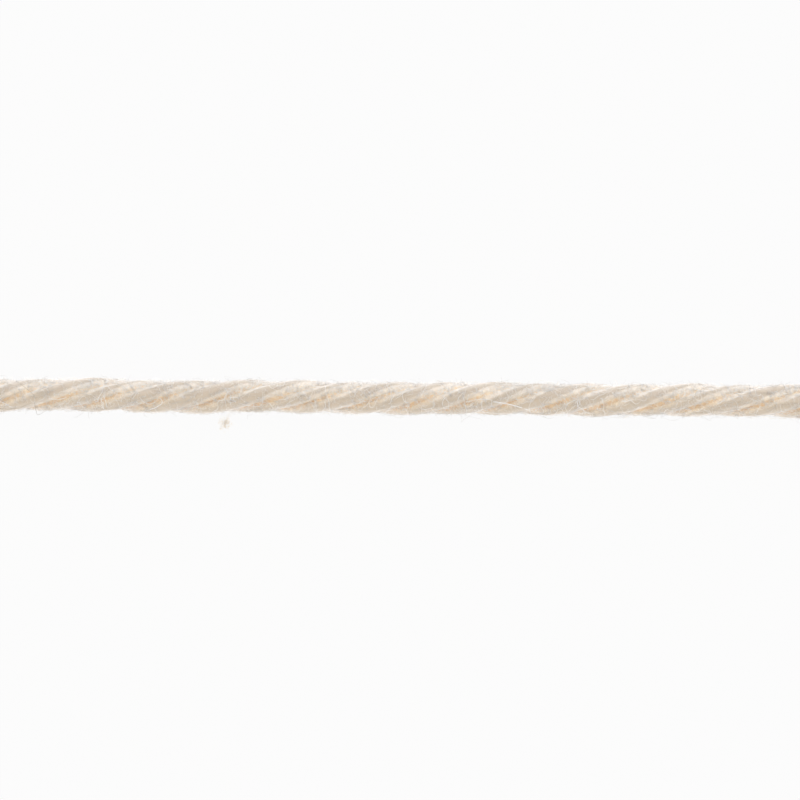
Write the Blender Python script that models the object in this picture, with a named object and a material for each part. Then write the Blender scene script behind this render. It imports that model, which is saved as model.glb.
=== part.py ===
"""A cut length of four-ply knitting yarn, lying straight on a surface.

Four soft singles (plies) are twisted round each other with an S twist. They aren't equal: each one
fills its own share of the round. Each ply is pressed into a rounded wedge by its neighbours, bulges
outwards in a round lobe, and is flat where it lies on the surface. The strand runs along X and rests
on Z = 0. Units are metres.
"""
import math
import bmesh
import bpy

# Driving dimensions of the strand
LEAD = 0.0149  # length of strand in which a ply goes once round
TURNS = 4.5
PLY_OFFSET = 0.00066  # from the strand's axis to a ply's centre
AXIS_HEIGHT = 0.00113  # a little less than the plies' reach, so the soft underside is pressed flat
PLY_GAP = 0.00032  # across the strand; about 0.3 mm square to the slanting ply walls
SOFTNESS = 8  # power of the smooth minimum that rounds the corners of a ply's section

# Unevenness of hand-feel yarn: twist that runs ahead and back, and a slight meander in plan
FIRST_GROOVE_AT = -0.00217  # where ply_1 starts at the strand's side, but for the drift
TWIST_DRIFT = math.radians(10.75)
TWIST_DRIFT_LENGTH = 0.0439
TWIST_DRIFT_AT = -0.0034
MEANDER = 0.000045
MEANDER_LENGTH = 0.0154
MEANDER_AT = 0.0038

# Mesh fineness
RINGS_PER_TURN = 18
SECTION_POINTS = 14

# One row for each ply: name, share of the round in degrees, lobe radius, thick place along the
# strand, and how much thicker it is there
PLIES = (
    ("ply_1", 89.0, 0.00057, 0.0310, 0.12),
    ("ply_2", 91.5, 0.00054, -0.0147, 0.16),
    ("ply_3", 100.5, 0.00056, -0.0196, 0.14),
    ("ply_4", 79.0, 0.00047, 0.0039, 0.12),
)
SLUB_LENGTH = 0.0055  # how far along the strand a thick place fades

WOOL_COLOUR = (0.76, 0.67, 0.55, 1.0)
WOOL_ROUGHNESS = 0.9

LENGTH = LEAD * TURNS
RINGS = round(RINGS_PER_TURN * TURNS)


def clear_scene():
    for obj in list(bpy.data.objects):
        bpy.data.objects.remove(obj)


def wool_material():
    material = bpy.data.materials.new("cream_wool")
    material.use_nodes = True
    shader = material.node_tree.nodes["Principled BSDF"]
    shader.inputs["Base Color"].default_value = WOOL_COLOUR
    shader.inputs["Roughness"].default_value = WOOL_ROUGHNESS
    shader.inputs["Metallic"].default_value = 0.0
    return material


def twist_angle(x):
    """Angle round the strand's axis, from +Y towards +Z, at which ply_1 starts. It falls along X: an S twist."""
    drift = TWIST_DRIFT * math.cos(2 * math.pi * (x - TWIST_DRIFT_AT) / TWIST_DRIFT_LENGTH)
    return drift - 2 * math.pi * (x - FIRST_GROOVE_AT) / LEAD


def sideways(x):
    """Sideways place of the strand's axis: a slight sine."""
    return MEANDER * math.sin(2 * math.pi * (x - MEANDER_AT) / MEANDER_LENGTH)


def lobe_at(x, lobe, slub_at, slub):
    """The lobe's radius, with a smooth thick place where the spinner fed in more fibre."""
    return lobe * (1 + slub * math.exp(-(((x - slub_at) / SLUB_LENGTH) ** 2)))


def section_reach(psi, lobe, half_share):
    """Distance from the ply's centre to its skin, at the angle psi from straight outwards.

    It is the smooth minimum of the round lobe and of the two flat walls, which run towards the
    strand's axis and face the neighbouring plies across half of the gap.
    """
    wall_distance = PLY_OFFSET * math.sin(half_share) - PLY_GAP / 2
    closeness = lobe**-SOFTNESS
    for side in (-1, 1):
        facing = math.cos(half_share + math.pi / 2 + side * psi)
        if facing > 0:
            closeness += (facing / wall_distance) ** SOFTNESS
    return closeness ** (-1 / SOFTNESS)


def section(x, start, half_share, lobe):
    """The ring of points round one ply at x, pressed flat where it would sink below the surface."""
    angle = twist_angle(x) + start + half_share
    centre_y = sideways(x) + PLY_OFFSET * math.cos(angle)
    centre_z = AXIS_HEIGHT + PLY_OFFSET * math.sin(angle)
    points = []
    for step in range(SECTION_POINTS):
        psi = 2 * math.pi * step / SECTION_POINTS
        reach = section_reach(psi, lobe, half_share)
        y = centre_y + reach * math.cos(angle + psi)
        z = centre_z + reach * math.sin(angle + psi)
        points.append((x, y, max(z, 0.0)))
    return points


def ply(name, start, half_share, lobe, slub_at, slub, material):
    """One ply: its rings joined by walls, with a plain cut at each end."""
    bm = bmesh.new()
    rings = []
    for number in range(RINGS + 1):
        x = LENGTH * (number / RINGS - 0.5)
        points = section(x, start, half_share, lobe_at(x, lobe, slub_at, slub))
        rings.append([bm.verts.new(point) for point in points])
    for near, far in zip(rings, rings[1:]):
        for step in range(SECTION_POINTS):
            after = (step + 1) % SECTION_POINTS
            bm.faces.new((near[step], near[after], far[after], far[step]))
    bm.faces.new(reversed(rings[0]))
    bm.faces.new(rings[-1])
    bmesh.ops.triangulate(bm, faces=bm.faces)
    bmesh.ops.recalc_face_normals(bm, faces=bm.faces)
    mesh = bpy.data.meshes.new(name)
    bm.to_mesh(mesh)
    bm.free()
    mesh.shade_smooth()
    mesh.set_sharp_from_angle(angle=math.radians(50))
    mesh.materials.append(material)
    obj = bpy.data.objects.new(name, mesh)
    bpy.context.scene.collection.objects.link(obj)
    return obj


def main():
    clear_scene()
    wool = wool_material()
    start = 0.0
    for name, share, lobe, slub_at, slub in PLIES:
        share = math.radians(share)
        ply(name, start, share / 2, lobe, slub_at, slub, wool)
        start += share


main()
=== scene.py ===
"""Looks of a straight cut length of four-ply knitting yarn, spun from undyed cream wool.

The strand lies along X on a pale table. Its four plies are modelled as wool skins with a fine fibrous
relief. Thin tubes on them are the wool's own fibres: fibres lying in the plies, curls that cross them,
a soft halo, stray hairs, and frayed tips at both cuts. All lengths are in metres.
"""
import math

import bpy
import numpy as np
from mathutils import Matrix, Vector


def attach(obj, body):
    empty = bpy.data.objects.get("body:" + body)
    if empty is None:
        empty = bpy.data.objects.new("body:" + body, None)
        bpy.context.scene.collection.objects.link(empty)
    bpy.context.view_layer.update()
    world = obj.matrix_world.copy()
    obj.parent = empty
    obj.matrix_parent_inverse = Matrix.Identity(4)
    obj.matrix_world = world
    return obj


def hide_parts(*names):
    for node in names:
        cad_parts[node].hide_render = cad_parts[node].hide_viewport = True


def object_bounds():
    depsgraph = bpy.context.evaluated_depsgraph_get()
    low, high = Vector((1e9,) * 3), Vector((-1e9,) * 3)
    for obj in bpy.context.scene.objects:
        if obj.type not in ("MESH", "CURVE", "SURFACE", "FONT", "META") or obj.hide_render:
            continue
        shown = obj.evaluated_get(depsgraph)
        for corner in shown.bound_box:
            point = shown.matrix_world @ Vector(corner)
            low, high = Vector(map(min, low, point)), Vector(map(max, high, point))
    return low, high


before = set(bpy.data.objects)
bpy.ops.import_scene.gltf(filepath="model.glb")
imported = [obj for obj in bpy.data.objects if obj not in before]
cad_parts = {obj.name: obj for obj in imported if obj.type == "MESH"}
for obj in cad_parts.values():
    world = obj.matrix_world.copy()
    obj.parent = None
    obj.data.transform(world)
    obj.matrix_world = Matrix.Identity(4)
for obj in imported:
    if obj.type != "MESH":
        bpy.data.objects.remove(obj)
CAD_LOW, CAD_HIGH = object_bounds()

MM = 0.001

# The strand's route and section, as in the part's own source
START_X = CAD_LOW.x
END_X = CAD_HIGH.x
LEAD = 0.0149
PLY_OFFSET = 0.00066
AXIS_HEIGHT = 0.00113
FIRST_GROOVE_AT = -0.00217
TWIST_DRIFT = math.radians(10.75)
TWIST_DRIFT_LENGTH = 0.0439
TWIST_DRIFT_AT = -0.0034
MEANDER = 0.000045
MEANDER_LENGTH = 0.0154
MEANDER_AT = 0.0038
SLUB_LENGTH = 0.0055
# One row for each ply: name, share of the round in degrees, lobe radius, thick place, how much thicker
PLIES = (
    ("ply_1", 89.0, 0.00057, 0.0310, 0.12),
    ("ply_2", 91.5, 0.00054, -0.0147, 0.16),
    ("ply_3", 100.5, 0.00056, -0.0196, 0.14),
    ("ply_4", 79.0, 0.00047, 0.0039, 0.12),
)
NODES = [row[0] for row in PLIES]
SHARE = np.radians([row[1] for row in PLIES])
HALF_SHARE = SHARE / 2
PLY_ANGLE = np.cumsum(SHARE) - HALF_SHARE  # from where ply_1 starts to each ply's own middle
LOBE = np.array([row[2] for row in PLIES])
SLUB_AT = np.array([row[3] for row in PLIES])
SLUB = np.array([row[4] for row in PLIES])

# The wool
PRESSED_GAP = 0.004 * MM  # between the skins of two plies that press on each other
CORNER_SOFTNESS = 24  # power of the smooth minimum that rounds the corners of a ply's section
GROOVE_FILL = 0.06  # how much the loose wool in the grooves widens a ply there
# Cosines of the angles from straight outwards where the widening sets in, and where it is full
FILL_FROM = math.cos(math.radians(50))
FILL_TO = math.cos(math.radians(100))
CREST = PLY_OFFSET + LOBE.mean()  # from the strand's axis to the top of a ply
GROOVE_REACH = 0.00090  # from the strand's axis to the loose wool in the grooves
GROOVE_DEPTH = 0.3 * (CREST - GROOVE_REACH)  # wool this far below the crests counts as in a groove
FIBRE_LEAN = 610.0  # radians per metre by which the spun fibres turn round their ply: a Z twist
TABLE_CLEAR = 0.012 * MM  # the lowest that the middle of a fibre comes to the table

# The wool's colour across a ply, from its crest (0) to the groove beside it (1), away from the lit side:
# cream, with painted shade that greys the crests and a painted warm glow that turns the grooves orange
PAINTED_SHADE_AND_GLOW_TINT = (
    (0.0, (0.53, 0.43, 0.314)),
    (0.24, (0.545, 0.445, 0.325)),
    (0.44, (0.62, 0.51, 0.38)),
    (0.68, (0.70, 0.575, 0.425)),
    (0.86, (0.74, 0.555, 0.35)),
    (1.0, (0.72, 0.455, 0.235)),
)
# A paler copy with painted light, for the side that the light falls on: most along a line of this Y,
# and less as far as this reach to each side
LIT_SIDE_AT = 0.69 * MM
LIT_SIDE_REACH = 1.1 * MM
PAINTED_LIT_SIDE_TINT = (
    (0.0, (0.52, 0.425, 0.325)),
    (0.14, (0.56, 0.465, 0.36)),
    (0.28, (0.76, 0.665, 0.555)),
    (0.5, (0.86, 0.775, 0.68)),
    (0.85, (0.875, 0.755, 0.61)),
    (1.0, (0.87, 0.68, 0.465)),
)
PATCH_SCALE = 1.3 / MM  # fineness of the slow noise that shifts the colours' borders
PATCH_SHIFT = 0.35  # how far it shifts them, as a share of the way from crest to groove
CURL_SCALES = (3.2 / MM, 5.6 / MM)  # fineness of the two layers of tiny curls on the skin

# The camera looks straight down
VIEW_WIDTH = 0.060  # at the height of the strand's sides
LENS = 100.0
SENSOR = 36.0
STRAND_TILT = 0.00823  # how far the strand falls to the right in the view, in radians
VIEW_SHIFT = 0.000150  # how far the strand lies above the middle of the view

SEED = 20


# ---------------------------------------------------------------- the strand's own coordinates

def turn_at(x):
    """Angle round the strand's axis at which ply_1 starts: an even S twist plus a slow cosine drift."""
    drift = TWIST_DRIFT * np.cos(2 * np.pi * (x - TWIST_DRIFT_AT) / TWIST_DRIFT_LENGTH)
    return drift - 2 * np.pi * (x - FIRST_GROOVE_AT) / LEAD


def sideways(x):
    """Sideways place of the strand's axis: a slight sine of x."""
    return MEANDER * np.sin(2 * np.pi * (x - MEANDER_AT) / MEANDER_LENGTH)


def lobe_at(ply, x):
    """The lobe's radius, with a bell-shaped thick place."""
    return LOBE[ply] * (1 + SLUB[ply] * np.exp(-(((x - SLUB_AT[ply]) / SLUB_LENGTH) ** 2)))


def section_reach(ply, x, psi):
    """Distance from a ply's centre to its skin, at the angle psi from straight outwards.

    It is the smooth minimum (a negative power mean) of the round lobe, widened towards the grooves,
    and of the two walls that run towards the strand's axis.
    """
    half = HALF_SHARE[ply]
    wall = PLY_OFFSET * np.sin(half) - PRESSED_GAP / 2
    fill = np.clip((FILL_FROM - np.cos(psi)) / (FILL_FROM - FILL_TO), 0, 1)
    lobe = lobe_at(ply, x) * (1 + GROOVE_FILL * fill * fill * (3 - 2 * fill))
    closeness = lobe**-CORNER_SOFTNESS
    for side in (-1, 1):
        facing = np.cos(half + np.pi / 2 + side * psi)
        closeness = closeness + (np.maximum(facing, 0) / wall) ** CORNER_SOFTNESS
    return closeness ** (-1 / CORNER_SOFTNESS)


def on_ply(ply, x, psi, lift=0.0):
    """Points on a ply's skin: its centre runs along a helix, and the skin lies reach + lift from it."""
    angle = turn_at(x) + PLY_ANGLE[ply]
    reach = section_reach(ply, x, psi) + lift
    y = sideways(x) + PLY_OFFSET * np.cos(angle) + reach * np.cos(angle + psi)
    z = AXIS_HEIGHT + PLY_OFFSET * np.sin(angle) + reach * np.sin(angle + psi)
    return np.stack(np.broadcast_arrays(x, y, z), -1)


def outline(x, phi):
    """Distance from the strand's axis to its outer skin, at the angle phi round it.

    A ply's round lobe reaches off * cos(d) + sqrt(lobe^2 - off^2 * sin^2(d)) at the angle d from its
    middle, and the outermost of the four counts.
    """
    reaches = []
    for ply in range(len(PLIES)):
        away = phi - turn_at(x) - PLY_ANGLE[ply]
        lobe = lobe_at(ply, x)
        inside = np.maximum(lobe**2 - (PLY_OFFSET * np.sin(away)) ** 2, 0)
        reaches.append(np.where(inside > 0, PLY_OFFSET * np.cos(away) + np.sqrt(inside), 0))
    return np.maximum(np.max(reaches, axis=0), GROOVE_REACH)


def on_strand(x, phi, lift, bridging=0.0):
    """Points at the angle phi round the strand, lift above its skin.

    bridging runs from 0, where the fibre follows the skin into the grooves, to 1, where it stays at
    the crests' height and bridges them.
    """
    radius = (1 - bridging) * outline(x, phi) + bridging * CREST + lift
    y = sideways(x) + radius * np.cos(phi)
    z = AXIS_HEIGHT + radius * np.sin(phi)
    return np.stack(np.broadcast_arrays(x, y, z), -1)


def groove_share(points):
    """How far wool lies in a groove: 0 on a ply's crest, 1 in the groove between two plies.

    It is the angle from the nearest ply's middle over half that ply's share of the round, and wool
    that bridges a groove at the crests' height counts as lying on a crest.
    """
    x = points[..., 0]
    y = points[..., 1] - sideways(x)
    z = points[..., 2] - AXIS_HEIGHT
    around = np.arctan2(z, y) - turn_at(x)
    shares = []
    for ply in range(len(PLIES)):
        away = (around - PLY_ANGLE[ply] + np.pi) % (2 * np.pi) - np.pi
        shares.append(np.abs(away) / HALF_SHARE[ply])
    sunk = np.clip((CREST - np.hypot(y, z)) / GROOVE_DEPTH, 0, 1)
    return np.clip(np.min(shares, axis=0), 0, 1) * sunk


# ---------------------------------------------------------------- meshes from arrays

def mesh_object(name, points, faces, material, attributes=(), uv=None):
    """A mesh object from arrays: points is (n, 3), and faces lists index arrays of (m, corners).

    attributes lists (name, one number for each point), and uv is each point's place on the fibres' map.
    """
    corners = np.concatenate([part.ravel() for part in faces]).astype(np.int32)
    counts = np.concatenate([np.full(len(part), part.shape[1]) for part in faces])
    starts = np.concatenate([[0], np.cumsum(counts)[:-1]]).astype(np.int32)
    mesh = bpy.data.meshes.new(name)
    mesh.vertices.add(len(points))
    mesh.vertices.foreach_set("co", points.astype(np.float32).ravel())
    mesh.loops.add(len(corners))
    mesh.loops.foreach_set("vertex_index", corners)
    mesh.polygons.add(len(counts))
    mesh.polygons.foreach_set("loop_start", starts)
    for label, values in attributes:
        layer = mesh.attributes.new(label, "FLOAT", "POINT")
        layer.data.foreach_set("value", values.astype(np.float32).ravel())
    if uv is not None:
        layer = mesh.uv_layers.new(name="fibre_lie")
        layer.uv.foreach_set("vector", uv[corners].astype(np.float32).ravel())
    mesh.update(calc_edges=True)
    mesh.shade_smooth()
    mesh.materials.append(material)
    obj = bpy.data.objects.new(name, mesh)
    bpy.context.scene.collection.objects.link(obj)
    return obj


def tube_faces(rings, around):
    """Quads between neighbouring rings of a tube, pointing outwards where rings turn from Y to Z."""
    ring, step = np.meshgrid(np.arange(rings - 1), np.arange(around), indexing="ij")
    after = (step + 1) % around
    near, far = ring * around, (ring + 1) * around
    quads = np.stack([near + step, near + after, far + after, far + step], -1)
    return quads.reshape(-1, 4)


def unit(vectors):
    """Vectors of length 1."""
    return vectors / np.maximum(np.linalg.norm(vectors, axis=-1, keepdims=True), 1e-12)


def hair_frames(paths):
    """Side and up directions along each hair, square to it.

    The side direction is square to the hair and to the axis about which the hair turns on the whole,
    the sum of its bends, with a share of any square direction for a hair that is nearly straight.
    """
    along = unit(np.gradient(paths, axis=1))
    bends = np.cross(along[:, :-1], along[:, 1:]).sum(1)
    chord = unit(paths[:, -1] - paths[:, 0])
    spare = np.cross(chord, unit(np.roll(chord, 1, axis=-1) + (0.3, -0.2, 0.1)))
    axis = unit(bends + 0.05 * unit(spare))[:, None]
    side = unit(np.cross(along, axis))
    return side, np.cross(along, side)


HAIR_SIDES = 3
TAPER_FROM = 0.75  # how far along a hair it starts to narrow


def hair_object(name, paths, radius, material, shade, tip=0.35):
    """Many hairs as one mesh of closed thin tubes.

    paths is (hairs, points, 3). A ring's corners lie at point + r * (cos(a) * side + sin(a) * up), and
    r narrows to tip of its width, with the square of the way from TAPER_FROM to the hair's end. shade
    is one number for each hair.
    """
    hairs, points = paths.shape[:2]
    paths = paths.copy()
    radius = np.broadcast_to(np.reshape(radius, (-1, 1)), (hairs, points))
    paths[..., 2] = np.maximum(paths[..., 2], TABLE_CLEAR)
    side, up = hair_frames(paths)
    place = np.linspace(0, 1, points)
    narrowing = 1 - (1 - tip) * np.clip((place - TAPER_FROM) / (1 - TAPER_FROM), 0, 1) ** 2
    width = (radius * narrowing)[..., None, None]
    angle = (2 * np.pi * np.arange(HAIR_SIDES) / HAIR_SIDES)[:, None]
    rings = paths[:, :, None] + width * (
        np.cos(angle) * side[:, :, None] + np.sin(angle) * up[:, :, None]
    )
    firsts = np.arange(hairs)[:, None, None] * points * HAIR_SIDES
    quads = (tube_faces(points, HAIR_SIDES)[None] + firsts).reshape(-1, 4)
    root = np.arange(HAIR_SIDES)[::-1] + firsts[:, 0]
    end = (points - 1) * HAIR_SIDES + np.arange(HAIR_SIDES) + firsts[:, 0]
    groove = np.repeat(groove_share(paths)[..., None], HAIR_SIDES, -1)
    shades = np.broadcast_to(np.reshape(shade, (-1, 1, 1)), groove.shape)
    return mesh_object(
        name,
        rings.reshape(-1, 3),
        [quads, root, end],
        material,
        attributes=(("groove", groove), ("shade", shades)),
    )


# ---------------------------------------------------------------- smooth chance

WANDER_WAVES = (0.5, 1.2, 2.3)  # how many waves fit along a hair


def wander(chance, hairs, points, size):
    """A smooth random line for each hair: a sum of sines of the place along it, weaker as they get finer."""
    place = np.linspace(0, 1, points)
    line = np.zeros((hairs, points))
    for wave in WANDER_WAVES:
        phase = chance.uniform(0, 2 * np.pi, (hairs, 1))
        strength = chance.normal(0, 1 / wave, (hairs, 1))
        line += strength * np.sin(2 * np.pi * wave * place + phase)
    return size * line


def curl(chance, hairs, points, length, heading, turn, wobble):
    """Plane curves from their headings: the running sum of steps (cos h, sin h).

    The heading h starts at heading, turns evenly by turn radians in all, and wanders by wobble.
    """
    place = np.linspace(0, 1, points)
    bearing = heading[:, None] + turn[:, None] * place + wander(chance, hairs, points, wobble)
    step = (length / (points - 1))[:, None]
    east = np.cumsum(step * np.cos(bearing), axis=1)
    north = np.cumsum(step * np.sin(bearing), axis=1)
    return east - east[:, :1], north - north[:, :1]


# ---------------------------------------------------------------- the wool's skin

STRAND_RINGS = 420
SKIN_STEPS = 44  # points over the part of a ply's section that shows
WALL_STEPS = 6  # points over the part that presses on the other plies
SHOWN_ANGLE = math.radians(118)
# Relief of the skin. One row for each layer: its height, the range that its crests round a ply are
# drawn from, and how many waves it sums
RELIEF = 0.004 * MM
RELIEF_LAYERS = ((RELIEF, 6, 15, 16), (0.006 * MM, 2, 6, 8))
WAVE_BENT = 500.0  # radians per metre: how much a wave's lean strays from the fibres'
# The cut: how much the outermost rings keep of their size, and how far each lies from the end
CUT_KEEP = np.array([0.35, 0.75, 0.95])
CUT_INSET = np.array([0.0, 0.01, 0.04]) * MM
MAP_SHIFT = 7.3  # between two plies' places on the fibres' map, in millimetres


def fibre_relief(chance, x, psi, coarsest, finest, count):
    """Fibrous relief: a sum of waves, each even along the lean of the fibres.

    Each wave has a whole number of crests round the ply, so that the seam closes, and runs along
    psi - lean * x with a slight bent of its own. The root mean square of the sum is 1.
    """
    relief = np.zeros(np.broadcast_shapes(x.shape, psi.shape))
    for _ in range(count):
        crests = chance.integers(coarsest, finest)
        bent = chance.normal(0, WAVE_BENT)
        phase = chance.uniform(0, 2 * np.pi)
        relief += np.sin(crests * (psi - FIBRE_LEAN * x) + bent * x + phase)
    return relief / math.sqrt(count / 2)


def ply_skin(ply, chance):
    """One ply's closed skin: rings of section points along the strand, and a rounded blunt cut at each end.

    Returns its points, its faces and the place of each point on the fibres' own map, in millimetres:
    x, and the lobe's radius times the angle from the line along which the fibres lie.
    """
    shown = np.linspace(-SHOWN_ANGLE, SHOWN_ANGLE, SKIN_STEPS)
    hidden = np.linspace(SHOWN_ANGLE, 2 * np.pi - SHOWN_ANGLE, WALL_STEPS + 2)[1:-1]
    psi = np.concatenate([shown, hidden])[None]
    x = np.linspace(START_X, END_X, STRAND_RINGS)[:, None]
    cut = len(CUT_KEEP)
    keep = np.ones_like(x)
    keep[:cut, 0] = CUT_KEEP
    keep[-cut:, 0] = CUT_KEEP[::-1]
    x[:cut, 0] = START_X + CUT_INSET
    x[-cut:, 0] = END_X - CUT_INSET[::-1]
    lift = 0.0
    for height, coarsest, finest, count in RELIEF_LAYERS:
        lift = lift + height * fibre_relief(chance, x, psi, coarsest, finest, count)
    lift = np.where(np.abs(psi) <= SHOWN_ANGLE, lift, 0)
    reach = section_reach(ply, x, psi)
    lift = (reach + lift) * keep - reach
    points = on_ply(ply, x, psi, lift)
    points[..., 2] = np.maximum(points[..., 2], 0)
    around = psi.shape[1]
    poles = points[[0, -1]].mean(1)
    faces = tube_faces(STRAND_RINGS, around)
    pole = STRAND_RINGS * around
    step = np.arange(around)
    after = (step + 1) % around
    start_fan = np.stack([np.full(around, pole), after, step], -1)
    last = (STRAND_RINGS - 1) * around
    end_fan = np.stack([np.full(around, pole + 1), last + step, last + after], -1)
    girth = LOBE[ply] * (psi - FIBRE_LEAN * x)
    lie = np.stack(np.broadcast_arrays(x / MM, girth / MM), -1).reshape(-1, 2)
    lie = np.concatenate([lie, np.zeros((2, 2))])
    return np.concatenate([points.reshape(-1, 3), poles]), [faces, start_fan, end_fan], lie


def plied_strand(chance, material):
    """The four plies' skins as one piece."""
    points, faces, lies = [], [], []
    first = 0
    for ply in range(len(PLIES)):
        skin, skin_faces, lie = ply_skin(ply, chance)
        points.append(skin)
        faces += [part + first for part in skin_faces]
        lies.append(lie + (0, MAP_SHIFT * ply))
        first += len(skin)
    points = np.concatenate(points)
    return mesh_object(
        "plied_strand",
        points,
        faces,
        material,
        attributes=(("groove", groove_share(points)),),
        uv=np.concatenate(lies),
    )


GROOVE_RINGS = 460
GROOVE_STEPS = 56
GROOVE_INSET = 0.2 * MM  # from the strand's ends
# Clots. One row for each layer: its height, the range that its crests round the strand are drawn from,
# and how many waves it sums
CLOT_LAYERS = ((0.030 * MM, 1, 5, 8), (0.014 * MM, 8, 20, 14))
CLOT_RADIUS = 1.2 * MM  # with it, clots are about as long along the strand as they are wide round it


def groove_wool(chance, material):
    """Loose wool that fills the bottoms of the grooves: a clotted tube inside the ring of plies.

    Its radius is GROOVE_REACH plus a sum of waves in x and in the angle round the strand, each with a
    whole number of crests round it, so that only the grooves show it, more of it here and less there.
    """
    x = np.linspace(START_X + GROOVE_INSET, END_X - GROOVE_INSET, GROOVE_RINGS)[:, None]
    phi = np.linspace(0, 2 * np.pi, GROOVE_STEPS, endpoint=False)[None]
    radius = np.full((GROOVE_RINGS, GROOVE_STEPS), GROOVE_REACH)
    for height, coarsest, finest, count in CLOT_LAYERS:
        for _ in range(count):
            crests = chance.integers(coarsest, finest)
            along = chance.normal(0, crests / CLOT_RADIUS)
            phase = chance.uniform(0, 2 * np.pi)
            radius += height * math.sqrt(2 / count) * np.sin(crests * phi + along * x + phase)
    y = sideways(x) + radius * np.cos(phi)
    z = AXIS_HEIGHT + radius * np.sin(phi)
    points = np.stack(np.broadcast_arrays(x, y, z), -1)
    start_cap = np.arange(GROOVE_STEPS)[::-1][None]
    end_cap = (GROOVE_RINGS - 1) * GROOVE_STEPS + np.arange(GROOVE_STEPS)[None]
    return mesh_object(
        "groove_wool",
        points.reshape(-1, 3),
        [tube_faces(GROOVE_RINGS, GROOVE_STEPS), start_cap, end_cap],
        material,
        attributes=(("groove", np.ones(points.shape[:2])),),
    )


# ---------------------------------------------------------------- fibres

def lying_fibres(ply, chance, material, hairs=450, points=8):
    """Fibres spun into one ply: each runs along the ply's skin on a leaning, crimped line.

    psi = start + lean * (x - middle) + crimp, and the fibre dips into the skin at both ends, with the
    sixth power of the distance from its middle.
    """
    length = chance.uniform(0.8, 3.0, hairs) * MM
    middle = chance.uniform(START_X, END_X, hairs)
    place = np.linspace(-0.5, 0.5, points)
    x = np.clip(middle[:, None] + length[:, None] * place, START_X, END_X)
    lean = FIBRE_LEAN + chance.normal(0, 420, hairs)[:, None]
    start = chance.normal(0, math.radians(62), hairs)[:, None]
    psi = start + lean * (x - middle[:, None]) + wander(chance, hairs, points, 0.07)
    radius = chance.uniform(0.006, 0.012, hairs) * MM
    proud = chance.uniform(-0.2, 1.3, hairs)
    rise = radius[:, None] * (proud[:, None] - 2.2 * (2 * place) ** 6)
    rise = rise + wander(chance, hairs, points, 0.006 * MM)
    paths = on_ply(ply, x, psi, rise + 0.3 * RELIEF)
    return hair_object(f"{NODES[ply]}_fibres", paths, radius, material, chance.random(hairs))


def anywhere(chance, hairs):
    """Places all over the strand: x, and the angle round it."""
    return chance.uniform(START_X + MM, END_X - MM, hairs), chance.uniform(0, 2 * np.pi, hairs)


def by_grooves(chance, hairs, spread=0.36):
    """Places that gather about the grooves, bell-shaped in their angle from one."""
    x = chance.uniform(START_X + MM, END_X - MM, hairs)
    ply = chance.integers(0, len(PLIES), hairs)
    return x, turn_at(x) + PLY_ANGLE[ply] + HALF_SHARE[ply] + chance.normal(0, spread, hairs)


def raised_grooves(chance, hairs):
    """Places by grooves, of which only those on the upper +Y side are kept, where the nap is raised."""
    x, phi = by_grooves(chance, 10 * hairs, spread=0.25)
    kept = (np.cos(phi) > 0.3) & (np.sin(phi) > 0.1)
    return x[kept][:hairs], phi[kept][:hairs]


def surface_curls(chance, name, material, hairs, points, length, width, lift, bridging, place):
    """Curled fibres on top of the plies, which cross them at any angle and bridge the grooves.

    length, width, lift and bridging are (least, most) over the fibres, in millimetres but for
    bridging. Each fibre is a plane curl laid round the strand, so that it keeps its length there. Most
    fibres head round the strand, with a bell-shaped spread.
    """
    reach = chance.uniform(*length, hairs) * MM
    heading = chance.normal(np.pi / 2, 0.8, hairs)
    east, north = curl(chance, hairs, points, reach, heading, chance.normal(0, 1.9, hairs), 0.7)
    middle, around = place(chance, hairs)
    x = middle[:, None] + east - east.mean(1, keepdims=True)
    phi = around[:, None] + (north - north.mean(1, keepdims=True)) / CREST
    low, high = lift
    rise = low + (high - low) * np.abs(wander(chance, hairs, points, 1.0))
    held = chance.uniform(*bridging, hairs)[:, None]
    paths = on_strand(x, phi, rise * MM, bridging=held)
    radius = chance.uniform(*width, hairs) * MM / 2
    return hair_object(name, paths, radius, material, chance.random(hairs))


def downy_hairs(chance, name, material, hairs, points, length, width, height, power):
    """Hairs that leave the skin, rise a little and curl over.

    lift = height * place^power, so that a hair starts along the skin and turns away from it. length is
    (least, mean), width and power are (least, most), and height is the mean, all in millimetres but
    for power. Most hairs stay lower than the mean.
    """
    least, mean = length
    reach = (least + chance.gamma(2.0, (mean - least) / 2, hairs)) * MM
    heading = chance.normal(0, 0.9, hairs) + np.pi * chance.integers(0, 2, hairs)
    east, north = curl(chance, hairs, points, reach, heading, chance.normal(0, 1.2, hairs), 0.5)
    x = chance.uniform(START_X, END_X, hairs)[:, None] + east
    phi = chance.uniform(0, 2 * np.pi, hairs)[:, None] + north / CREST
    place = np.linspace(0, 1, points)
    tall = np.minimum(chance.gamma(1.5, height / 1.5, hairs), 4 * height) * MM
    lift = tall[:, None] * place ** chance.uniform(*power, hairs)[:, None]
    lift = lift + wander(chance, hairs, points, 0.15 * height * MM) * place
    paths = on_strand(x, phi, lift - 0.01 * MM, bridging=0.15)
    radius = chance.uniform(*width, hairs) * MM / 2
    return hair_object(name, paths, radius, material, chance.random(hairs))


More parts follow.
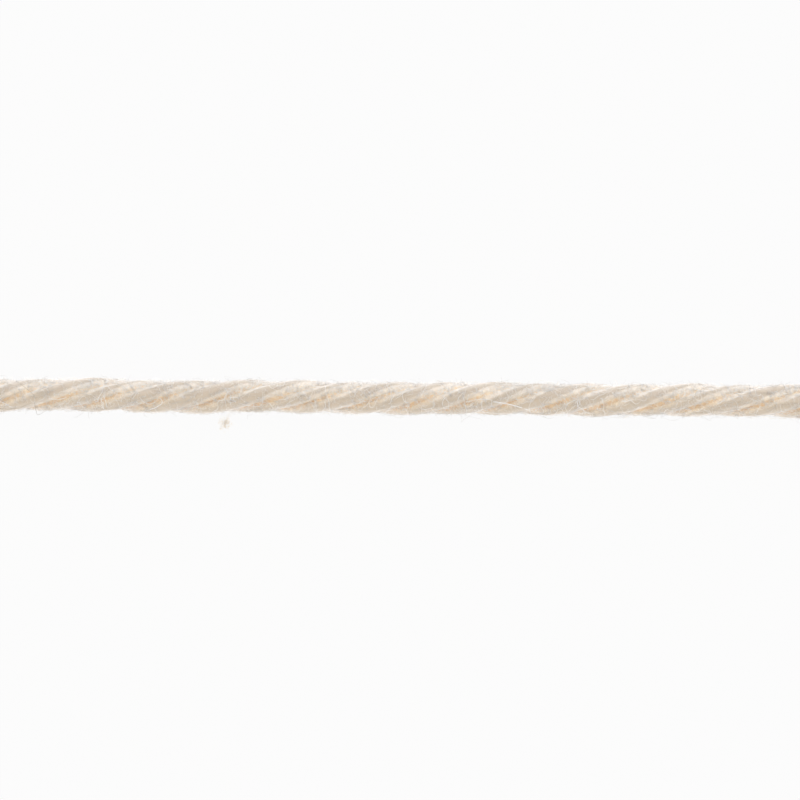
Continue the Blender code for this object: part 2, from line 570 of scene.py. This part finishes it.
def stray_hairs(chance, material, hairs=40, points=22):
    """Longer hairs that stand off the strand in loops: both ends are held in the wool.

    lift = height * sin(pi * place)^0.8, and a wander on top of it.
    """
    length = chance.uniform(1.5, 5.0, hairs) * MM
    heading = chance.normal(0, 0.7, hairs) + np.pi * chance.integers(0, 2, hairs)
    east, north = curl(chance, hairs, points, length, heading, chance.normal(0, 1.6, hairs), 0.6)
    x = chance.uniform(START_X + MM, END_X - MM, hairs)[:, None] + east
    phi = chance.uniform(0, 2 * np.pi, hairs)[:, None] + north / CREST
    place = np.linspace(0, 1, points)
    height = np.minimum(chance.gamma(2.0, 0.10, hairs), 0.5) * MM
    lift = height[:, None] * np.sin(np.pi * place) ** 0.8
    lift = lift + np.abs(wander(chance, hairs, points, 0.05 * MM))
    paths = on_strand(x, phi, lift, bridging=0.5)
    radius = chance.uniform(0.006, 0.011, hairs) * MM
    return hair_object("stray_hairs", paths, radius, material, chance.random(hairs), tip=0.8)


# Hairs that catch the eye, listed one by one. One row for each: where it starts (x and y in mm), which way
# it heads in degrees, and its stretches, each with its length in mm and how many degrees it turns.
GUARD_HAIR = ((-28.8, 1.1, -30, ((1.7, -10), (0.5, -55), (1.0, 3), (0.3, 120), (0.6, 5))),)
BRIGHT_HAIRS = (
    (6.8, -0.2, -5, ((2.9, -16),)),
    (-18.8, -1.3, 95, ((0.35, -80), (0.9, 20), (0.25, 60), (0.35, 90))),
    (-13.0, 0.7, -80, ((0.5, 40), (0.5, -70), (0.6, 60))),
)
LOOSE_HAIRS = (
    (4.8, -0.3, 20, ((0.7, -12), (1.4, -15))),
    (4.6, 0.3, -65, ((0.8, -15), (0.4, 25))),
    (6.8, -0.1, -85, ((0.5, 0),)),
    (-30.0, -0.4, -20, ((0.8, -15), (0.8, 60))),
    (-26.2, -0.2, -20, ((1.4, 45),)),
    (-24.1, -0.6, 50, ((0.3, -100), (0.4, -40))),
    (-22.1, 0.0, -60, ((0.9, -30),)),
    (-19.4, 0.0, -70, ((0.5, 30), (0.6, 50), (0.7, 60))),
    (-13.1, 0.6, 10, ((0.5, -20),)),
    (-12.7, 0.7, -100, ((0.6, -30), (0.5, 60), (0.5, -20))),
    (-13.0, 0.3, -60, ((0.4, -60), (0.4, -60), (0.4, 80))),
    (-12.8, -0.2, -120, ((0.3, 120), (0.5, 30))),
    (-12.8, -0.1, 5, ((0.6, 0), (0.2, -90))),
    (-12.8, -0.1, -30, ((2.3, 30), (0.4, 80), (0.8, 15))),
    (0.2, 0.4, -100, ((0.6, 40), (0.4, 80))),
    (1.5, 0.1, 60, ((1.0, 0),)),
    (3.5, 0.1, 200, ((0.4, 50), (0.4, 40), (0.3, 30))),
    (12.2, -0.2, -60, ((0.2, 0), (0.1, 100), (0.8, -25))),
    (13.2, 0.0, -85, ((0.7, 0),)),
    (24.9, 0.2, 25, ((0.9, -30),)),
)


def placed_hairs(name, rows, material, radius, shade, points=26):
    """Hairs on top of the strand, each a chain of arcs.

    The heading is a broken straight line over the hair's length, and the running sum of steps
    (cos h, sin h) from the start gives x and y. The hair lies on the crests, and past the strand's
    side it stands out at the axis' height.
    """
    lines = []
    for x, y, heading, stretches in rows:
        lengths = np.cumsum([0.0] + [length for length, _ in stretches])
        turns = np.cumsum([0.0] + [turn for _, turn in stretches])
        along = np.linspace(0, lengths[-1], points)
        bearing = np.radians(heading + np.interp(along, lengths, turns))
        step = lengths[-1] / (points - 1)
        east = x + np.cumsum(step * np.cos(bearing))
        north = y + np.cumsum(step * np.sin(bearing))
        lines.append(np.stack([east, north], -1) * MM)
    lines = np.array(lines)
    aside = lines[..., 1] - sideways(lines[..., 0])
    height = AXIS_HEIGHT + np.sqrt(np.maximum(CREST**2 - aside**2, 0)) + 0.03 * MM
    paths = np.concatenate([lines, height[..., None]], -1)
    return hair_object(name, paths, radius, material, np.full(len(rows), shade), tip=0.6)


TUFT_X = -13.2 * MM
TUFT_Y = -2.05 * MM
TUFT_SPREAD = 0.225 * MM
TUFT_TIES = 4  # hairs that run from the clump to the strand's side


def shed_tuft(chance, material, hairs=200, points=7):
    """A small clump of shed wool beside the strand, which hangs on it by a few hairs.

    Its curls start at random places in a flat heap on the table, bell-shaped in density. The ties run
    straight in plan and rise by the power 1.5 of the way.
    """
    x = TUFT_X + TUFT_SPREAD * chance.normal(0, 1, hairs)
    y = TUFT_Y + TUFT_SPREAD * chance.normal(0, 1, hairs)
    length = chance.uniform(0.08, 0.26, hairs) * MM
    heading = chance.uniform(0, 2 * np.pi, hairs)
    east, north = curl(chance, hairs, points, length, heading, chance.normal(0, 3, hairs), 0.6)
    height = 0.025 * MM + np.abs(chance.normal(0, 0.03 * MM, hairs))[:, None]
    height = height + wander(chance, hairs, points, 0.006 * MM)
    paths = np.stack([x[:, None] + east, y[:, None] + north, height], -1)
    place = np.linspace(0, 1, points)
    ends = chance.normal(0, 0.25 * MM, TUFT_TIES)[:, None] + TUFT_X + 0.6 * MM
    ties = paths[-TUFT_TIES:]
    ties[..., 0] = TUFT_X + (ends - TUFT_X) * place
    ties[..., 1] = TUFT_Y + (sideways(ends) - 0.9 * CREST - TUFT_Y) * place
    ties[..., 2] = 0.04 * MM + 0.8 * AXIS_HEIGHT * place**1.5
    ties += 0.02 * MM * chance.normal(0, 1, ties.shape)
    radius = chance.uniform(0.006, 0.010, hairs) * MM
    return hair_object("shed_tuft", paths, radius, material, chance.random(hairs))


LONGEST_TIP = 1.6 * MM
TIP_DEPTH = 0.1 * MM  # how far inside the cut a tip starts


def frayed_tips(chance, material, hairs=520, points=8):
    """Fibres that stand out of both cuts and spread.

    Each starts at a random place in the round section, runs out along X and leans outwards with the
    square of the distance, in its own direction.
    """
    end = chance.integers(0, 2, hairs)
    outwards = np.where(end == 1, 1.0, -1.0)[:, None]
    first_x = np.where(end == 1, END_X, START_X)[:, None] - outwards * TIP_DEPTH
    away = 0.85 * CREST * np.sqrt(chance.random(hairs))
    around = chance.uniform(0, 2 * np.pi, hairs)
    place = np.linspace(0, 1, points)
    length = np.minimum((0.3 + chance.gamma(1.6, 0.45, hairs)) * MM, LONGEST_TIP)[:, None]
    lean = np.clip(chance.normal(0.35, 0.3, hairs), -0.3, 0.6)[:, None]
    spread = away[:, None] + lean * length * place**2
    x = first_x + outwards * length * place
    y = sideways(first_x) + spread * np.cos(around)[:, None] + wander(chance, hairs, points, 0.03 * MM)
    z = AXIS_HEIGHT + spread * np.sin(around)[:, None] + wander(chance, hairs, points, 0.03 * MM)
    paths = np.stack([x, y, z], -1)
    radius = chance.uniform(0.007, 0.013, hairs) * MM
    return hair_object("frayed_tips", paths, radius, material, chance.random(hairs))


# ---------------------------------------------------------------- materials

def add_node(tree, kind, **settings):
    """A node with these settings, each a property where it has one of that name, or else a socket."""
    node = tree.nodes.new(kind)
    for name, value in settings.items():
        if hasattr(node, name):
            setattr(node, name, value)
        else:
            node.inputs[name.replace("_", " ")].default_value = value
    return node


def colour_steps(tree, factor, steps):
    """A colour ramp: steps lists (place, colour)."""
    ramp = tree.nodes.new("ShaderNodeValToRGB")
    elements = ramp.color_ramp.elements
    while len(elements) < len(steps):
        elements.new(0.5)
    for element, (place, colour) in zip(elements, steps):
        element.position = place
        element.color = (*colour, 1)
    tree.links.new(factor, ramp.inputs["Fac"])
    return ramp.outputs["Color"]


def blended(tree, kind, factor, first, second):
    """Two colours blended. factor, first and second are constants or sockets.

    The node's colour sockets are its inputs 6 and 7 and its output 2.
    """
    mix = tree.nodes.new("ShaderNodeMix")
    mix.data_type = "RGBA"
    mix.blend_type = kind
    for socket, value in ((mix.inputs["Factor"], factor), (mix.inputs[6], first), (mix.inputs[7], second)):
        if isinstance(value, bpy.types.NodeSocket):
            tree.links.new(value, socket)
        elif isinstance(value, tuple):
            socket.default_value = (*value, 1)
        else:
            socket.default_value = value
    return mix.outputs[2]


def worked_out(tree, kind, operation, first, second):
    """The result of a Math or Vector Math node. first and second are numbers, triples or sockets."""
    node = add_node(tree, "ShaderNode" + kind, operation=operation)
    for socket, value in zip(node.inputs, (first, second)):
        if isinstance(value, bpy.types.NodeSocket):
            tree.links.new(value, socket)
        else:
            socket.default_value = value
    return node.outputs["Value"] if operation == "DOT_PRODUCT" else node.outputs[0]


def new_material(name, roughness, sheen, subsurface):
    """A material with one Principled shader, whose constant values are set on its own sockets."""
    material = bpy.data.materials.new(name)
    material.use_nodes = True
    shader = material.node_tree.nodes["Principled BSDF"]
    shader.inputs["Roughness"].default_value = roughness
    shader.inputs["Specular IOR Level"].default_value = 0.25
    shader.inputs["Sheen Weight"].default_value = sheen
    shader.inputs["Sheen Roughness"].default_value = 0.7
    shader.inputs["Subsurface Weight"].default_value = subsurface
    shader.inputs["Subsurface Radius"].default_value = (1.0, 1.0, 1.0)
    shader.inputs["Subsurface Scale"].default_value = 0.04 * MM
    return material, material.node_tree, shader


def painted_lit_side(tree):
    """Where painted light makes the wool paler, on the side that the light falls on: 1 along a line on
    the +Y side, less beside it.

    It is a smooth step of the distance in Y from that line.
    """
    place = tree.nodes.new("ShaderNodeTexCoord")
    split = tree.nodes.new("ShaderNodeSeparateXYZ")
    tree.links.new(place.outputs["Object"], split.inputs["Vector"])
    from_line = worked_out(tree, "Math", "SUBTRACT", split.outputs["Y"], LIT_SIDE_AT)
    distance = worked_out(tree, "Math", "ABSOLUTE", from_line, 0.0)
    side = add_node(tree, "ShaderNodeMapRange", interpolation_type="SMOOTHSTEP")
    side.inputs["From Min"].default_value = LIT_SIDE_REACH
    side.inputs["From Max"].default_value = 0.0
    tree.links.new(distance, side.inputs["Value"])
    return side.outputs["Result"]


def wool_and_painted_light(tree):
    """The wool's colour: cream on the flanks, grey-beige on the crests as painted shade, and orange in
    the grooves as a painted warm glow.

    On the +Y side, which painted light makes paler, the cream is wider and reaches into the grooves.
    Everywhere its borders wander with a slow noise, so that the cream is wider in some places than in
    others.
    """
    groove = add_node(tree, "ShaderNodeAttribute", attribute_name="groove").outputs["Fac"]
    place = tree.nodes.new("ShaderNodeTexCoord")
    patches = add_node(tree, "ShaderNodeTexNoise", Scale=PATCH_SCALE, Detail=1.0, Roughness=0.5)
    tree.links.new(place.outputs["Object"], patches.inputs["Vector"])
    shift = worked_out(tree, "Math", "SUBTRACT", patches.outputs["Fac"], 0.5)
    shift = worked_out(tree, "Math", "MULTIPLY", shift, PATCH_SHIFT)
    groove = worked_out(tree, "Math", "ADD", groove, shift)
    # both copies hold painted shade on the crests and a painted glow in the grooves; the second is the
    # paler, painted-light copy for the +Y side
    smooth = colour_steps(tree, groove, PAINTED_SHADE_AND_GLOW_TINT)
    return blended(tree, "MIX", painted_lit_side(tree), smooth, colour_steps(tree, groove, PAINTED_LIT_SIDE_TINT))


def tiny_curls(tree, scale):
    """Pale lines like tiny curled fibres: where a fine noise passes through its middle value."""
    place = tree.nodes.new("ShaderNodeTexCoord")
    noise = add_node(tree, "ShaderNodeTexNoise", Scale=scale, Detail=1.0, Roughness=0.5)
    tree.links.new(place.outputs["Object"], noise.inputs["Vector"])
    from_middle = worked_out(tree, "Math", "SUBTRACT", noise.outputs["Fac"], 0.5)
    distance = worked_out(tree, "Math", "ABSOLUTE", from_middle, 0.0)
    return colour_steps(
        tree,
        distance,
        ((0.0, (1.17, 1.20, 1.23)), (0.02, (1.07, 1.09, 1.10)), (0.05, (0.96, 0.95, 0.94))),
    )


def spun_wool():
    """The plies' skin: the wool's colour with its painted shade and light, faint streaks along the lie of
    the fibres, and tiny curls.

    The streaks are noise stretched on the fibres' own map. The curls fade out towards the crests.
    """
    material, tree, shader = new_material("spun_wool", 0.9, 1.0, 0.0)
    # the wool's colour with painted shade on the crests, a painted glow in the grooves and painted light on
    # the +Y side
    tint = wool_and_painted_light(tree)
    lie = add_node(tree, "ShaderNodeUVMap", uv_map="fibre_lie").outputs["UV"]
    stretched = add_node(tree, "ShaderNodeMapping")
    stretched.inputs["Scale"].default_value = (0.9, 11.0, 1.0)
    tree.links.new(lie, stretched.inputs["Vector"])
    streaks = add_node(tree, "ShaderNodeTexNoise", Scale=1.0, Detail=4.0, Roughness=0.65)
    tree.links.new(stretched.outputs["Vector"], streaks.inputs["Vector"])
    light = colour_steps(
        tree, streaks.outputs["Fac"], ((0.3, (0.97, 0.965, 0.96)), (0.7, (1.02, 1.025, 1.03)))
    )
    colour = blended(tree, "MULTIPLY", 1.0, tint, light)
    groove = add_node(tree, "ShaderNodeAttribute", attribute_name="groove").outputs["Fac"]
    on_flank = add_node(tree, "ShaderNodeMapRange")
    on_flank.inputs["From Min"].default_value = 0.15
    on_flank.inputs["From Max"].default_value = 0.6
    on_flank.inputs["To Min"].default_value = 0.1
    tree.links.new(groove, on_flank.inputs["Value"])
    for scale in CURL_SCALES:
        colour = blended(tree, "MULTIPLY", on_flank.outputs["Result"], colour, tiny_curls(tree, scale))
    tree.links.new(colour, shader.inputs["Base Color"])
    bump = add_node(tree, "ShaderNodeBump", Strength=0.3, Distance=0.02 * MM)
    tree.links.new(streaks.outputs["Fac"], bump.inputs["Height"])
    tree.links.new(bump.outputs["Normal"], shader.inputs["Normal"])
    return material


def clots_and_painted_glow():
    """The loose wool in the grooves: orange as a painted warm glow, with paler and darker clots from a
    fine noise.

    Painted light makes it creamier on the +Y side.
    """
    material, tree, shader = new_material("clots_and_painted_glow", 0.95, 0.5, 0.0)
    place = tree.nodes.new("ShaderNodeTexCoord")
    clots = add_node(tree, "ShaderNodeTexNoise", Scale=4.5 / MM, Detail=4.0, Roughness=0.6)
    tree.links.new(place.outputs["Object"], clots.inputs["Vector"])
    # orange of the clots: a painted warm glow of the light in the grooves
    colour = colour_steps(
        tree,
        clots.outputs["Fac"],
        ((0.30, (0.62, 0.40, 0.21)), (0.5, (0.68, 0.475, 0.275)), (0.70, (0.74, 0.57, 0.39))),
    )
    pale = colour_steps(tree, clots.outputs["Fac"], ((0.35, (0.84, 0.64, 0.43)), (0.65, (0.93, 0.82, 0.66))))
    # painted light: the creamier copy on the +Y side
    colour = blended(tree, "MIX", painted_lit_side(tree), colour, pale)
    tree.links.new(colour, shader.inputs["Base Color"])
    bump = add_node(tree, "ShaderNodeBump", Strength=0.6, Distance=0.05 * MM)
    tree.links.new(clots.outputs["Fac"], bump.inputs["Height"])
    tree.links.new(bump.outputs["Normal"], shader.inputs["Normal"])
    return material


def fibre_wool(name, dull, pale, own_share, sheen, light_through):
    """Single fibres: the wool's colour across a ply, with its painted shade and light, times the fibre's
    own shade, from dull to pale.

    own_share is how much of the fibre's own paleness hides the wool's colour, and light_through is how
    much of the light it scatters goes through it.
    """
    material, tree, shader = new_material(name, 0.6, sheen, light_through)
    shade = add_node(tree, "ShaderNodeAttribute", attribute_name="shade").outputs["Fac"]
    # the wool's colour with painted shade on the crests, a painted glow in the grooves and painted light on
    # the +Y side
    tint = wool_and_painted_light(tree)
    own = colour_steps(tree, shade, ((0.0, dull), (1.0, pale)))
    colour = blended(tree, "MULTIPLY", 1.0, tint, own)
    colour = blended(tree, "MIX", own_share, colour, own)
    tree.links.new(colour, shader.inputs["Base Color"])
    return material


# ---------------------------------------------------------------- camera, table and light

def look_straight_down():
    """The camera: a long lens above the strand, turned a little so that the strand falls to the right."""
    data = bpy.data.cameras.new("camera")
    data.lens = LENS
    data.sensor_width = SENSOR
    data.clip_start = 0.01
    camera = bpy.data.objects.new("camera", data)
    height = AXIS_HEIGHT + VIEW_WIDTH * LENS / SENSOR
    camera.location = (0, -VIEW_SHIFT, height)
    camera.rotation_euler = (0, 0, STRAND_TILT)
    bpy.context.scene.collection.objects.link(camera)
    bpy.context.scene.camera = camera


TABLE_SIZE = 3.0
TABLE_DROP = 0.01 * MM  # below the strand's underside
PAPER_WHITE = 0.973  # the table and the tent as they are seen
PAPER_GLOW = (1.82, 1.78, 1.78)  # the table as it lights the wool from below
SHADOW_SHARE = 0.03  # of the light on the table that it reflects, and that a shadow can take away
LIGHT_ON_TABLE = 1.17  # from the tent. The table's seen glow makes room for the share that it reflects
# The tent's walls. One row for each: which way it lies, how narrow it is, and its light
SOFT_BOXES = (
    ((0.0, 0.0, 1.0), 0, (0.742, 0.777, 0.87)),
    ((0.0, 0.0, 1.0), 6, (1.0, 0.81, 0.35)),
    ((0.0, 0.7, 0.7), 6, (0.8, 0.8, 0.78)),
    ((0.0, 0.98, 0.17), 6, (0.25, 0.31, 0.44)),
    ((0.0, -0.98, 0.17), 6, (0.3, 0.3, 0.3)),
)


def pale_table():
    """A glowing white table, of which a small share only reflects, so that it takes a faint shadow."""
    half = TABLE_SIZE / 2
    corners = np.array([(-half, -half), (half, -half), (half, half), (-half, half)])
    points = np.column_stack([corners, np.full(4, -TABLE_DROP)])
    material = bpy.data.materials.new("pale_table")
    material.use_nodes = True
    tree = material.node_tree
    tree.nodes.clear()
    ray = tree.nodes.new("ShaderNodeLightPath")
    glow = tree.nodes.new("ShaderNodeEmission")
    seen = (PAPER_WHITE - LIGHT_ON_TABLE * SHADOW_SHARE,) * 3
    light = blended(tree, "MIX", ray.outputs["Is Camera Ray"], PAPER_GLOW, seen)
    tree.links.new(light, glow.inputs["Color"])
    matt = add_node(tree, "ShaderNodeBsdfDiffuse", Color=(SHADOW_SHARE,) * 3 + (1,))
    both = tree.nodes.new("ShaderNodeAddShader")
    out = tree.nodes.new("ShaderNodeOutputMaterial")
    tree.links.new(glow.outputs[0], both.inputs[0])
    tree.links.new(matt.outputs[0], both.inputs[1])
    tree.links.new(both.outputs[0], out.inputs["Surface"])
    table = mesh_object("table", points, [np.array([[0, 1, 2, 3]])], material)


def light_tent():
    """Soft light from a white tent with soft boxes behind its walls.

    Each box adds its light times max(0, d . box)^narrowness, where d is the direction. The camera
    itself sees plain white.
    """
    world = bpy.data.worlds.new("light_tent")
    bpy.context.scene.world = world
    world.use_nodes = True
    tree = world.node_tree
    tree.nodes.clear()
    place = tree.nodes.new("ShaderNodeTexCoord")
    total = (0.0, 0.0, 0.0)
    for box, narrowness, light in SOFT_BOXES:
        facing = worked_out(tree, "VectorMath", "DOT_PRODUCT", place.outputs["Generated"], box)
        facing = worked_out(tree, "Math", "MAXIMUM", facing, 0.0)
        facing = worked_out(tree, "Math", "POWER", facing, narrowness)
        share = worked_out(tree, "VectorMath", "MULTIPLY", facing, light)
        total = worked_out(tree, "VectorMath", "ADD", total, share)
    tent = tree.nodes.new("ShaderNodeBackground")
    tree.links.new(total, tent.inputs["Color"])
    seen = add_node(tree, "ShaderNodeBackground", Color=(1, 1, 1, 1), Strength=PAPER_WHITE)
    ray = tree.nodes.new("ShaderNodeLightPath")
    choice = tree.nodes.new("ShaderNodeMixShader")
    out = tree.nodes.new("ShaderNodeOutputWorld")
    tree.links.new(ray.outputs["Is Camera Ray"], choice.inputs[0])
    tree.links.new(tent.outputs[0], choice.inputs[1])
    tree.links.new(seen.outputs[0], choice.inputs[2])
    tree.links.new(choice.outputs[0], out.inputs["Surface"])
    bpy.context.scene.view_settings.view_transform = "Standard"


# ---------------------------------------------------------------- putting it together


# The single fibres' materials. One row for each: name, its dull and its pale shade, how much of its own
# shade hides the wool's colour with its painted shade and light, its sheen, and how much of the light
# that it scatters goes through it
FIBRE_WOOLS = (
    ("fibre_in_ply", (0.965, 0.955, 0.94), (1.035, 1.045, 1.06), 0.0, 1.0, 1.0),
    ("fuzz_fibre", (0.56, 0.55, 0.535), (0.74, 0.73, 0.715), 0.95, 0.2, 0.0),
    ("downy_fibre", (0.74, 0.71, 0.67), (0.90, 0.88, 0.85), 0.6, 0.3, 1.0),
    ("loose_fibre", (0.80, 0.76, 0.70), (0.97, 0.945, 0.905), 0.85, 1.0, 1.0),
    ("shed_wool", (0.80, 0.71, 0.58), (0.93, 0.86, 0.75), 1.0, 0.2, 0.0),
    ("cream_nap", (0.91, 0.86, 0.78), (0.95, 0.925, 0.88), 0.9, 1.0, 1.0),
    ("bright_fibre", (0.90, 0.89, 0.87), (0.97, 0.965, 0.96), 1.0, 1.0, 1.0),
    ("guard_hair", (0.20, 0.165, 0.13), (0.24, 0.20, 0.16), 1.0, 0.0, 0.0),
)
# Curled fibres on the plies. One row for each piece: name, material, how many, points along each, their
# length, width and lift (from least to most, in mm), how far they bridge the grooves, and where they lie
CURLS = (
    ("groove_curls", "loose_fibre", 4600, 6, (0.25, 0.85), (0.012, 0.028), (0, 0.04), (0, 0.5), by_grooves),
    ("flank_curls", "loose_fibre", 3000, 6, (0.25, 0.8), (0.014, 0.030), (0, 0.03), (0, 0.4), by_grooves),
    ("raised_nap", "cream_nap", 1100, 6, (0.3, 0.9), (0.014, 0.030), (0, 0.05), (0.5, 1), raised_grooves),
    ("short_curls", "loose_fibre", 900, 6, (0.25, 0.8), (0.010, 0.024), (0, 0.03), (0, 0.4), anywhere),
    ("crossing_curls", "cream_nap", 420, 13, (0.8, 2.4), (0.022, 0.040), (0.02, 0.07), (0.3, 0.9), anywhere),
)
# Hairs that leave the skin. One row for each piece: name, material, how many, points along each, their
# least and mean length, least and most width, and mean height (in mm), and the power by which they rise
DOWN = (
    ("down", "downy_fibre", 2200, 6, (0.25, 0.8), (0.010, 0.020), 0.075, (0.7, 1.5)),
    ("halo", "fuzz_fibre", 1100, 10, (0.3, 1.0), (0.014, 0.022), 0.19, (0.8, 1.8)),
)
# Radius of the placed hairs, one for each bright one
BRIGHT_RADIUS = np.array([0.034, 0.024, 0.020]) * MM
LOOSE_RADIUS = 0.018 * MM
GUARD_RADIUS = 0.011 * MM


def fibre_pieces(chance):
    """Every piece of loose wool and fibres, in the order in which chance places them."""
    wool = {row[0]: fibre_wool(*row) for row in FIBRE_WOOLS}
    pieces = [groove_wool(chance, clots_and_painted_glow())]
    pieces += [lying_fibres(ply, chance, wool["fibre_in_ply"]) for ply in range(len(PLIES))]
    pieces += [surface_curls(chance, name, wool[kind], *sizes) for name, kind, *sizes in CURLS]
    pieces += [downy_hairs(chance, name, wool[kind], *sizes) for name, kind, *sizes in DOWN]
    pieces += [
        stray_hairs(chance, wool["fuzz_fibre"]),
        placed_hairs("bright_hairs", BRIGHT_HAIRS, wool["bright_fibre"], BRIGHT_RADIUS, 0.9),
        placed_hairs("loose_hairs", LOOSE_HAIRS, wool["bright_fibre"], LOOSE_RADIUS, 0.6),
        placed_hairs("guard_hair", GUARD_HAIR, wool["guard_hair"], GUARD_RADIUS, 0.5, points=60),
        shed_tuft(chance, wool["shed_wool"]),
        frayed_tips(chance, wool["loose_fibre"]),
    ]
    return pieces


def main():
    look_straight_down()
    pale_table()
    light_tent()
    chance = np.random.default_rng(SEED)
    strand = plied_strand(chance, spun_wool())
    fibres = fibre_pieces(chance)
    for piece in (strand, *fibres):
        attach(piece, "root")
    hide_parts(*NODES)


main()
